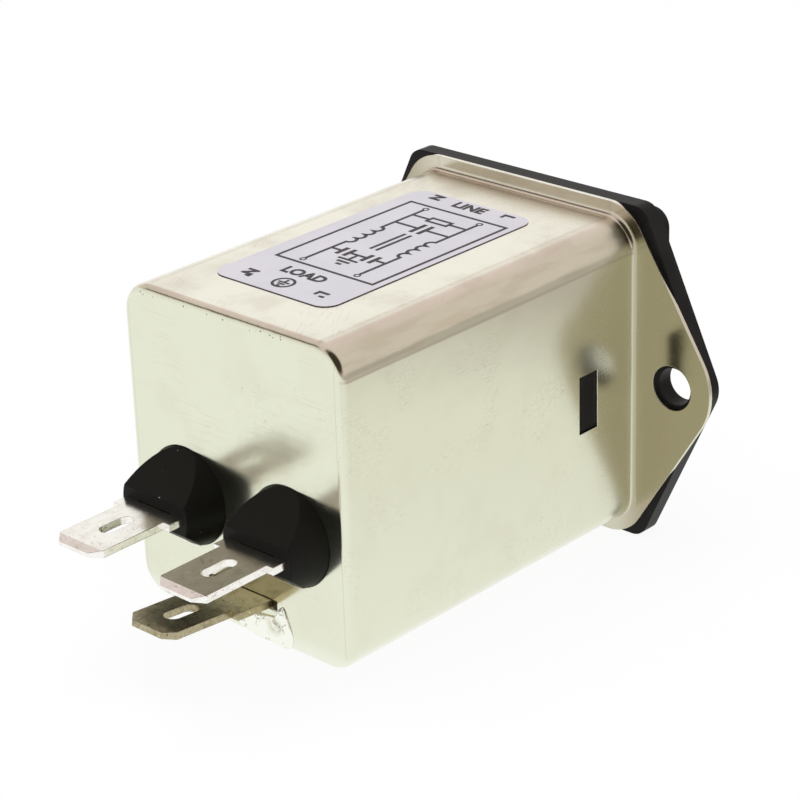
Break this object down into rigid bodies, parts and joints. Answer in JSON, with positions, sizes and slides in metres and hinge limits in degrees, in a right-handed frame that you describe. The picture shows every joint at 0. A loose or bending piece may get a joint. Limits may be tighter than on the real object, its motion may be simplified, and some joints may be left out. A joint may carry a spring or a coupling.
{
  "type": "appliance inlet with mains emi line filter",
  "caption": "Panel-mounted appliance inlet with a mains EMI filter in a drawn steel can, with an ear flange in front and quick-connect output tabs at the rear.",
  "frame": {"origin": "centre of the panel seat: the point midway between the two screw holes, in the rear face of the steel flange", "axes": "+X along the line of the two screw holes, towards the neutral side; +Y out of the rear of the filter, towards the output tabs; +Z towards the rating label"},
  "size_m": [0.0496, 0.0629, 0.0376],
  "materials": {
    "tinned_steel": "satin, tin plated, as drawn",
    "black_moulding": "satin moulded thermoplastic",
    "plated_pin": "nickel plated",
    "board_laminate": "green solder mask",
    "inner_moulding": "moulded thermoplastic",
    "ferrite": "green coated ferrite",
    "enamelled_copper": "enamelled copper wire",
    "film_capacitor_box": "moulded box",
    "disc_capacitor_lacquer": "dipped lacquer",
    "resistor_lacquer": "lacquered body",
    "brown_sleeve": "PVC insulation",
    "blue_sleeve": "PVC insulation",
    "tinned_strap": "tinned copper strip",
    "black_insulator": "moulded thermoset",
    "tinned_tab": "tin plated brass",
    "dull_earth_tab": "dull plated steel",
    "solder": "flowed solder",
    "label_film": "printed polyester film",
    "liner_film": "insulating paper"
  },
  "bodies": {
    "root": {"metal_housing": "tinned_steel", "inlet_moulding": "black_moulding", "line_pin": "plated_pin", "neutral_pin": "plated_pin", "earth_pin": "plated_pin", "circuit_board": "board_laminate", "choke_base": "inner_moulding", "choke_core": "ferrite", "choke_divider": "inner_moulding", "line_winding": "enamelled_copper", "neutral_winding": "enamelled_copper", "x_capacitor": "film_capacitor_box", "line_y_capacitor": "disc_capacitor_lacquer", "neutral_y_capacitor": "disc_capacitor_lacquer", "discharge_resistor": "resistor_lacquer", "line_lead": "brown_sleeve", "neutral_lead": "blue_sleeve", "earth_strap": "tinned_strap", "line_terminal_insulator": "black_insulator", "neutral_terminal_insulator": "black_insulator", "line_tab": "tinned_tab", "neutral_tab": "tinned_tab", "earth_tab": "dull_earth_tab", "earth_solder_joint": "solder", "rating_label": "label_film", "insulating_liner": "liner_film"}
  },
  "joints": []
}
